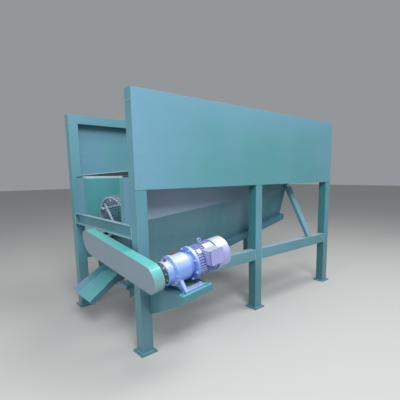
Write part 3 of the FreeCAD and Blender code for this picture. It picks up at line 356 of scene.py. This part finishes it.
# Painted shade: the platform and its gusset take a darker copy of the frame paint.
STAND_PAINT = painted("stand_paint", srgb(78, 132, 148), srgb(66, 122, 134), dust=0.05)
for name in ("drive_platform", "platform_gusset"):
    nodes[name].data.materials[0] = STAND_PAINT
# The motor's finned body: a painted highlight on its tops.
nodes["motor_body"].data.materials[0] = painted(
    "fin_paint", srgb(132, 146, 208), srgb(108, 122, 194), gloss=0.2, wear=0.2, coat_weight=0.8,
    top_highlight=srgb(176, 186, 224))
TEAL = srgb(80, 148, 158)
# Painted light on the skirts and lower plates: a pale painted reflection at the low end of the
# near faces, fading along the machine, and a lighter teal on the far skirt's inner face.
for name, near, far in (("hopper_skirt_right", srgb(166, 184, 208), srgb(84, 128, 142)),
                        ("hopper_skirt_left", srgb(78, 152, 158), srgb(80, 144, 152)),
                        ("hopper_plate_right", srgb(96, 138, 154), srgb(70, 120, 134)),
                        ("hopper_plate_left", srgb(70, 128, 134), srgb(64, 110, 122))):
    nodes[name].data.materials[0] = graded_reflection(name + "_paint", near, far, TEAL)
# The chute: the walls' outer faces are darker as painted shade.
nodes["discharge_chute"].data.materials[0] = scoured(
    "chute_paint", srgb(92, 168, 176), srgb(160, 194, 204), srgb(128, 154, 176),
    srgb(68, 104, 120))
laid = {piece.data.materials[0].name for piece in nodes.values()}
print(len(laid), "finishes laid on", len(nodes), "nodes")

# %% Finishes for the small shapes
RUBBER = plain("rubber_black", srgb(34, 40, 46), 0.6)
# Painted highlight: the edge strips and clamping bars are lighter than the frame.
EDGE_HIGHLIGHT = plain("edge_highlight", srgb(176, 208, 214), 0.35)
BOLT_STEEL = plain("bolt_steel", srgb(176, 184, 196), 0.32, 0.7)
BLUE_BOLT = plain("blue_bolt", srgb(168, 184, 236), 0.3)
# Painted highlight: the weld beads are lighter than the frame.
WELD_HIGHLIGHT = plain("weld_highlight", srgb(132, 180, 188), 0.3)
PLUG_RED = plain("plug_red", srgb(186, 38, 52), 0.35)
BLANK_PLATE = plain("blank_plate", srgb(226, 230, 238), 0.3)
# Painted shade: slots and vents are thin dark plates for the shade inside the openings.
SLOT_SHADE = plain("slot_shade", srgb(22, 28, 34), 0.7)
BRIGHT_PAINT = painted("bright_paint", srgb(92, 200, 198), srgb(78, 182, 184), gloss=0.3)

# %% [markdown]
# ## Small shapes
#
# Bolts, welds, seals and plates are too small for the CAD model. Each is built in a bmesh from
# a few plain shapes. A piece is placed by a matrix: the drum's and the drive's own frames lean
# eight degrees, and inside them every part is square again.

# %% Places to build in
FRONT_X, NEAR_Y, MIDDLE_Y = -0.05, -0.05, 0.71
LEAN_DEGREES = 8.0
TILT = Matrix.Rotation(math.radians(-LEAN_DEGREES), 4, "Y")
LEVEL = Matrix()
DRUM = Matrix.Translation((FRONT_X, MIDDLE_Y, 0.885)) @ TILT
DRIVE = Matrix.Translation((FRONT_X, -0.348, 0.765)) @ TILT
STAND = Matrix.Translation((FRONT_X, NEAR_Y, 0.6)) @ TILT

# %% Plain shapes
BOLT_ACROSS = 0.018
BOLT_STEPS = ((-0.001, 0.0025, 0.62, 16), (0.0025, 0.0115, 0.52, 6), (0.0115, 0.0145, 0.27, 10))
WELD_SCALE = 0.006


def add_box(shape, low, high, place=LEVEL):
    corners = [shape.verts.new(place @ Vector((x, y, z)))
               for x in (low[0], high[0]) for y in (low[1], high[1]) for z in (low[2], high[2])]
    for face in ((0, 1, 3, 2), (4, 6, 7, 5), (0, 4, 5, 1), (2, 3, 7, 6), (0, 2, 6, 4),
                 (1, 5, 7, 3)):
        shape.faces.new([corners[index] for index in face])


def add_skin(shape, points, radii, sides=8, place=LEVEL):
    """A closed skin round a straight row of points, with a radius at each."""
    along = (Vector(points[-1]) - Vector(points[0])).normalized()
    across = along.orthogonal().normalized()
    other = along.cross(across)
    rings = []
    for point, radius in zip(points, radii):
        rings.append([shape.verts.new(place @ (Vector(point) + radius * (
            across * math.cos(turn) + other * math.sin(turn))))
            for turn in (2 * math.pi * side / sides for side in range(sides))])
    for first, second in zip(rings, rings[1:]):
        for side in range(sides):
            shape.faces.new((first[side], first[(side + 1) % sides],
                             second[(side + 1) % sides], second[side]))
    shape.faces.new(rings[0][::-1])
    shape.faces.new(rings[-1])


def add_bolt(shape, foot, way, across=BOLT_ACROSS, place=LEVEL):
    """A washer, a six-sided head and the end of a thread."""
    foot, way = Vector(foot), Vector(way).normalized()
    size = across / BOLT_ACROSS
    for start, end, radius, sides in BOLT_STEPS:
        add_skin(shape, (foot + way * start * size, foot + way * end * size),
                 (radius * across, radius * across), sides, place)


def add_bead(shape, start, end, radius=0.004, place=LEVEL):
    """A weld bead: a row of overlapping scales, so its radius rises and falls."""
    start, end = Vector(start), Vector(end)
    count = max(3, int((end - start).length / WELD_SCALE))
    points = [start.lerp(end, step / count) for step in range(count + 1)]
    radii = [radius * (0.82 + 0.3 * (step % 3) / 2) for step in range(count + 1)]
    add_skin(shape, points, radii, 6, place)


def add_piece(name, shape, finish, body="frame", smooth=False):
    """Turn a bmesh into a piece that rides on a body."""
    bmesh.ops.recalc_face_normals(shape, faces=shape.faces)
    data = bpy.data.meshes.new(name)
    shape.to_mesh(data)
    shape.free()
    for face in data.polygons:
        face.use_smooth = smooth
    data.materials.append(finish)
    piece = bpy.data.objects.new(name, data)
    bpy.context.scene.collection.objects.link(piece)
    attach(piece, body)
    print(name, len(data.polygons), "faces")
    return piece


# %% [markdown]
# ## The screen's cross wires
#
# The CAD model has the lengthwise rods. The cross wires that make them into a square mesh are
# thin hoops, and they turn with the drum.

# %% Cross wires
WIRE_COUNT, FIRST_WIRE, WIRE_PITCH = 57, 0.175 + 0.017, 0.0333
HOOP_RADIUS, HALF_WIRE = 0.3845, 0.002
TURNS = 72

wires = bmesh.new()
for number in range(WIRE_COUNT):
    station = FIRST_WIRE + number * WIRE_PITCH
    loops = []
    for step in range(TURNS):
        turn = 2 * math.pi * (step + 0.5) / TURNS
        out = Vector((0.0, math.cos(turn), math.sin(turn)))
        centre = Vector((station, 0.0, 0.0)) + out * HOOP_RADIUS
        loops.append([wires.verts.new(DRUM @ (centre + Vector((dx, 0, 0)) + out * dr))
                      for dx, dr in ((-HALF_WIRE, -HALF_WIRE), (HALF_WIRE, -HALF_WIRE),
                                     (HALF_WIRE, HALF_WIRE), (-HALF_WIRE, HALF_WIRE))])
    for step in range(TURNS):
        here, after = loops[step], loops[(step + 1) % TURNS]
        for side in range(4):
            wires.faces.new((here[side], after[side], after[(side + 1) % 4],
                             here[(side + 1) % 4]))
add_piece("screen_cross_wires", wires, PAINTS["screen_steel"], "drum")

# %% [markdown]
# ## Welds
#
# The frame is welded all over. Beads run round each post's foot, across the post tops, and
# down the joints of the rails and beams. They are painted lighter than the frame, a painted
# highlight for the glint of their fresh paint.

# %% Weld beads
POST_FACES = (0.05, 1.35, 1.45, 2.75)
BRACE_FOOT, BRACE_HEAD = (2.376, 2.461), (2.213, 2.253)
SKIRT_Y = 0.474

beads = bmesh.new()
POSTS = [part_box("post_%s_%s" % (side, spot)) for side in ("right", "left")
         for spot in ("front", "middle", "rear")]
for low, high in POSTS:
    x0, y0, x1, y1 = low.x, low.y, high.x, high.y
    for z in (low.z, high.z):
        for start, end in (((x0, y0), (x1, y0)), ((x1, y0), (x1, y1)), ((x1, y1), (x0, y1)),
                           ((x0, y1), (x0, y0))):
            if z == low.z or start[0] == end[0]:
                add_bead(beads, (*start, z), (*end, z))
for side, face in (("right", -1), ("left", 1)):
    rail_low, rail_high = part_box("low_rail_" + side)
    y = rail_low.y if face < 0 else rail_high.y
    inner = rail_high.y if face < 0 else rail_low.y
    for x in POST_FACES:
        add_bead(beads, (x, y, rail_low.z), (x, y, rail_high.z))
        add_bead(beads, (x, y, rail_high.z), (x, inner, rail_high.z))
    brace_low, brace_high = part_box("brace_" + side)
    foot_y = brace_low.y if face < 0 else brace_high.y
    add_bead(beads, (BRACE_FOOT[0], foot_y, rail_high.z), (BRACE_FOOT[1], foot_y, rail_high.z))
    add_bead(beads, (BRACE_FOOT[0], foot_y, rail_high.z),
             (BRACE_FOOT[0], foot_y - face * 0.045, rail_high.z))
    head_y = MIDDLE_Y + face * SKIRT_Y
    add_bead(beads, (BRACE_HEAD[0], head_y, brace_high.z), (BRACE_HEAD[1], head_y, brace_high.z),
             0.006)
for name, x in (("front_beam", FRONT_X), ("rear_beam", 2.85)):
    low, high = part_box(name)
    for y in (low.y, high.y):
        add_bead(beads, (x, y, low.z), (x, y, high.z))
add_piece("weld_beads", beads, WELD_HIGHLIGHT)

# %% [markdown]
# ## Bolts
#
# The drive is held together by rings of bolts, the foot by four on the platform, the bearings
# by two each, and the side sheets by countersunk screws along the posts.

# %% Bolts on the drive
# Each ring: how many bolts, its radius, its place along the axis, a head's width, the first angle.
BOLT_RINGS = ((8, 0.1235, 0.269, 0.018, 22.5), (10, 0.1065, 0.095, 0.014, 9.0))
FOOT_TOP, PLATFORM_TOP = -0.1434, -0.1634

blue_bolts = bmesh.new()
for count, radius, station, across, start in BOLT_RINGS:
    for number in range(count):
        turn = math.radians(start + 360.0 * number / count)
        add_bolt(blue_bolts, (station, radius * math.cos(turn), radius * math.sin(turn)),
                 (-1, 0, 0), across, DRIVE)
for x in (0.165, 0.275):
    for y in (-0.114, 0.114):
        add_bolt(blue_bolts, (x, y, FOOT_TOP), (0, 0, 1), 0.022, DRIVE)
add_piece("drive_bolts", blue_bolts, BLUE_BOLT)

COLLAR_RADIUS = 0.088
steel_bolts = bmesh.new()
for number in range(12):
    turn = math.radians(15 + 30.0 * number)
    out = (0.0, math.cos(turn), math.sin(turn))
    add_bolt(steel_bolts, (0.014, out[1] * COLLAR_RADIUS, out[2] * COLLAR_RADIUS), out, 0.010,
             DRIVE)
for station in (0.025, 2.91):
    for y in (-0.078, 0.078):
        foot = DRUM @ Vector((station, y, 0.052))
        add_bolt(steel_bolts, foot, (0, 0, -1), 0.022)
for x in (0.13, 0.33):
    add_bolt(steel_bolts, (x, 0.20, PLATFORM_TOP), (0, 0, 1), 0.014, DRIVE)
add_piece("steel_bolts", steel_bolts, BOLT_STEEL)

# %% Screws in the side sheets
screws = bmesh.new()
for y, way in ((-0.053, -1), (1.473, 1)):
    for x in (-0.02, 1.4, 2.82):
        for z in (1.413, 1.634, 1.888, 2.122):
            add_skin(screws, ((x, y, z), (x, y + way * 0.0015, z)), (0.006, 0.005), 12)
add_piece("sheet_screws", screws, plain("screw_paint", srgb(112, 148, 166), 0.3))

# %% [markdown]
# ## Seals and edges of the hopper
#
# A rubber strip closes the gap between each skirt and the side sheet. It starts level with the
# skirt's top at the front and climbs along the sheet, under a clamping bar. A folded edge runs
# along the top of each skirt, and closing sheets fill the gap beside the front posts. The bar and
# the edge are pale, a painted highlight for the light along their edges.

# %% Seals, clamping bars and bright edges
SEAL_OUTER_Y = 0.757
SKIRT_TOP, SEAL_START, EDGE_TOP = 1.490, 1.492, 1.4905
EDGE_FRONT, SKIRT_END = -0.0085, 2.253
RISE = math.tan(math.radians(4.9))

seals, clamps, edges, closers = (bmesh.new() for number in range(4))
for way in (-1, 1):
    inner, outer = MIDDLE_Y + way * SKIRT_Y, MIDDLE_Y + way * SEAL_OUTER_Y
    for start, end in ((0.06, 1.34), (1.46, 2.74)):
        low, high = SEAL_START + start * RISE, SEAL_START + end * RISE
        corners = ((start, inner, SKIRT_TOP), (end, inner, SKIRT_TOP), (end, outer, high),
                   (start, outer, low))
        seals.faces.new([seals.verts.new(corner) for corner in corners])
        seals.faces.new([seals.verts.new(Vector(corner) - Vector((0, 0, 0.006)))
                         for corner in reversed(corners)])
        add_skin(clamps, ((start, outer - way * 0.004, low), (end, outer - way * 0.004, high)),
                 (0.008, 0.008), 4)
    face = MIDDLE_Y + way * 0.468
    add_box(edges, (EDGE_FRONT, min(face, face + way * 0.002), 1.466),
            (SKIRT_END, max(face, face + way * 0.002), EDGE_TOP))
    tip = MIDDLE_Y + way * 0.40
    root = MIDDLE_Y + way * 0.47
    add_box(edges, (EDGE_FRONT, min(tip, root), 1.472), (-0.0065, max(tip, root), EDGE_TOP))
    post = MIDDLE_Y + way * 0.66
    add_box(closers, (-0.007, min(inner, post), 1.0845), (-0.004, max(inner, post), 1.486))
add_piece("skirt_seals", seals, RUBBER)
add_piece("seal_clamps", clamps, EDGE_HIGHLIGHT)
add_piece("skirt_edges", edges, EDGE_HIGHLIGHT)
add_piece("front_closers", closers, PAINTS["sheet_paint"])

# %% [markdown]
# Below the front beam a lapped sheet closes the hopper in front of the drum. It has a notch for
# the shaft, and it ends above the chute so that the stones can pass under it.

# %% Front apron
APRON_BOTTOM, APRON_TOP, NOTCH_TOP = 0.66, 0.965, 0.79
FRONT_LAP, BACK_LAP, APRON_THICKNESS = 0.0425, 0.0455, 0.003

apron = bmesh.new()
for start, end, top, face in ((0.26, 0.507, APRON_TOP, FRONT_LAP),
                              (0.503, 0.635, APRON_TOP, BACK_LAP),
                              (0.635, 0.785, NOTCH_TOP, BACK_LAP),
                              (0.785, 1.15, APRON_TOP, BACK_LAP)):
    add_box(apron, (face - APRON_THICKNESS, start, APRON_BOTTOM), (face, end, top))
# Painted light: the apron is painted pale so that it reads lit, though it lies in deep shade.
add_piece("front_apron", apron, plain("apron_paint", srgb(134, 168, 196), 0.4))

# %% [markdown]
# ## The drive's small parts
#
# The reducer has two red oil plugs. The motor carries two blank plates, a box with a lid and a
# cable gland, and slots in the fan cover. The platform has a bright wear plate with two slots
# in which the foot can be moved to tighten the chain. The slots are thin dark plates, painted
# shade for the openings.

# %% Plugs, plates, lid and gland
def on_drum(radius, station, degrees):
    """A point on a cylinder round the drive axis, with its outward way."""
    turn = math.radians(degrees)
    way = Vector((0.0, -math.cos(turn), math.sin(turn)))
    return Vector((station, 0.0, 0.0)) + way * radius, way


plugs = bmesh.new()
for radius, station, degrees in ((0.0915, 0.062, 84), (0.1095, 0.165, 104)):
    spot, way = on_drum(radius, station, degrees)
    add_skin(plugs, (spot, spot + way * 0.012), (0.013, 0.013), 6, DRIVE)
    add_skin(plugs, (spot + way * 0.012, spot + way * 0.016), (0.009, 0.008), 12, DRIVE)
add_piece("oil_plugs", plugs, PLUG_RED)

plates = bmesh.new()
for station, length, degrees, width in ((0.40, 0.085, 62, 26), (0.315, 0.035, 50, 16)):
    rows = []
    for step in range(5):
        turn = degrees + width * (step / 4 - 0.5)
        for lift in (0.1262, 0.128):
            spot, way = on_drum(lift, station, turn)
            rows.append([plates.verts.new(DRIVE @ (spot + Vector((shift, 0, 0))))
                         for shift in (0.0, length)])
    for step in range(4):
        under, over, under_next, over_next = rows[2 * step:2 * step + 4]
        plates.faces.new((over[0], over[1], over_next[1], over_next[0]))
        plates.faces.new((under[1], under[0], under_next[0], under_next[1]))
        for end in (0, 1):
            plates.faces.new((under[end], over[end], over_next[end], under_next[end]))
add_piece("blank_plates", plates, BLANK_PLATE)

lid = bmesh.new()
add_box(lid, (0.351, -0.194, -0.0165), (0.484, -0.186, 0.1065), DRIVE)
bmesh.ops.bevel(lid, geom=list(lid.edges), offset=0.004, segments=2, affect="EDGES")
add_piece("box_lid", lid, PAINTS["motor_paint"])
gland = bmesh.new()
add_skin(gland, ((0.418, -0.157, -0.012), (0.418, -0.157, -0.026)), (0.016, 0.016), 6, DRIVE)
add_skin(gland, ((0.418, -0.157, -0.026), (0.418, -0.157, -0.04)), (0.011, 0.009), 16, DRIVE)
for x in (0.360, 0.475):
    for z in (-0.008, 0.098):
        add_skin(gland, ((x, -0.194, z), (x, -0.197, z)), (0.005, 0.004), 8, DRIVE)
add_piece("box_gland", gland, BOLT_STEEL)

vents = bmesh.new()
for number in range(24):
    turn = Matrix.Rotation(2 * math.pi * number / 24, 4, "X")
    add_box(vents, (0.6355, -0.004, 0.035), (0.6365, 0.004, 0.088), DRIVE @ turn)
add_piece("fan_vents", vents, SLOT_SHADE)

# %% [markdown]
# In the CAD model the platform's gusset ends in a deep edge. The photo shows it run out almost
# to a point under a rim, so a plate with that outline stands for the node.

# %% Platform plate and gusset
RIM_RISE, TIP_DROP = 0.049, 0.008
GUSSET_FACES = (0.0385, 0.0465)

gusset = bmesh.new()
low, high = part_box("platform_gusset")
rim = high.z + RIM_RISE
outline = ((high.y, low.z), (high.y, rim), (low.y, rim), (low.y, high.z - TIP_DROP))
rows = [[gusset.verts.new((x, y, z)) for y, z in outline] for x in GUSSET_FACES]
gusset.faces.new(rows[0])
gusset.faces.new(rows[1][::-1])
for side in range(4):
    after = (side + 1) % 4
    gusset.faces.new((rows[0][side], rows[0][after], rows[1][after], rows[1][side]))
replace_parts(add_piece("gusset_plate", gusset, STAND_PAINT), "platform_gusset")
wear_plate, slots = bmesh.new(), bmesh.new()
add_box(wear_plate, (0.10, -0.462, 0.0), (0.378, -0.405, 0.006), STAND)
add_piece("wear_plate", wear_plate, BRIGHT_PAINT)
for start, end in ((0.13, 0.21), (0.25, 0.34)):
    add_box(slots, (start, -0.440, 0.0055), (end, -0.426, 0.0068), STAND)
for x in (0.115, 0.36):
    add_skin(slots, ((x, -0.433, 0.006), (x, -0.433, 0.0069)), (0.006, 0.006), 12, STAND)
add_piece("wear_plate_slots", slots, SLOT_SHADE)

# %% [markdown]
# ## Floor, light and camera
#
# The floor is one pale sheet far larger than the machine. Three soft lamps light it: the main
# one high on the near side, where the photographer's daylight came from, a weaker one over the
# feed end and the weakest off the front. A pale world fills the shadows.

# %% Floor
floor_mesh = bpy.data.meshes.new("floor")
REACH = 40.0
floor_mesh.from_pydata([(-REACH, -REACH, 0), (REACH, -REACH, 0), (REACH, REACH, 0),
                        (-REACH, REACH, 0)], [], [(0, 1, 2, 3)])
floor = bpy.data.objects.new("floor", floor_mesh)
bpy.context.scene.collection.objects.link(floor)
floor_sheet = Sheet("floor_pale")
floor.data.materials.append(floor_sheet.finish(base_color=srgb(196, 196, 194), roughness=0.9))
floor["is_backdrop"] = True

# %% Light
def soft_lamp(name, power, width, place, target):
    data = bpy.data.lights.new(name, "AREA")
    data.energy = power
    data.shape = "SQUARE"
    data.size = width
    lamp = bpy.data.objects.new(name, data)
    lamp.location = place
    lamp.rotation_mode = "QUATERNION"
    lamp.rotation_quaternion = (Vector(target) - Vector(place)).to_track_quat("-Z", "Y")
    bpy.context.scene.collection.objects.link(lamp)


WORLD_COLOUR, WORLD_STRENGTH = (0.86, 0.9, 0.95, 1.0), 0.34
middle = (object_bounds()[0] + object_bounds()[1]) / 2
soft_lamp("key_light", 350.0, 2.6, (-1.6, -4.6, 5.4), middle)
soft_lamp("top_light", 180.0, 3.0, (3.4, -1.2, 6.0), middle)
soft_lamp("side_light", 110.0, 3.0, (-5.0, -0.5, 3.4), middle)
world = bpy.data.worlds.new("pale_world")
world.use_nodes = True
background = world.node_tree.nodes["Background"]
background.inputs["Color"].default_value = WORLD_COLOUR
background.inputs["Strength"].default_value = WORLD_STRENGTH
bpy.context.scene.world = world
bpy.context.scene.view_settings.view_transform = "Standard"

# %% [markdown]
# The camera stands where the photographer stood: at eye height, off the drive corner, looking
# along the near side. Its place was worked out from the edges of the frame, which are upright,
# level and square. The shift moves the picture on the film without tilting the camera, so that
# the posts keep their lean.

# %% Camera
EYE = Vector((-1.2524, -2.3475, 1.4876))
YAW, PITCH, ROLL = 0.847, -0.151, -0.012
FOCAL_LENGTH = 29.2
SHIFT = (-0.0397, 0.0609)

ahead = Vector((math.cos(YAW) * math.cos(PITCH), math.sin(YAW) * math.cos(PITCH),
                math.sin(PITCH)))
level_right = Vector((math.sin(YAW), -math.cos(YAW), 0.0))
level_up = level_right.cross(ahead)
right = level_right * math.cos(ROLL) + level_up * math.sin(ROLL)
upward = level_up * math.cos(ROLL) - level_right * math.sin(ROLL)
camera_data = bpy.data.cameras.new("camera")
camera_data.sensor_width = 36.0
camera_data.lens = FOCAL_LENGTH
camera_data.shift_x, camera_data.shift_y = SHIFT
camera = bpy.data.objects.new("camera", camera_data)
camera.matrix_world = (Matrix.Translation(EYE)
                       @ Matrix((right, upward, -ahead)).transposed().to_4x4())
bpy.context.scene.collection.objects.link(camera)
bpy.context.scene.camera = camera
print("camera at", tuple(round(value, 2) for value in EYE), "lens", FOCAL_LENGTH, "mm")
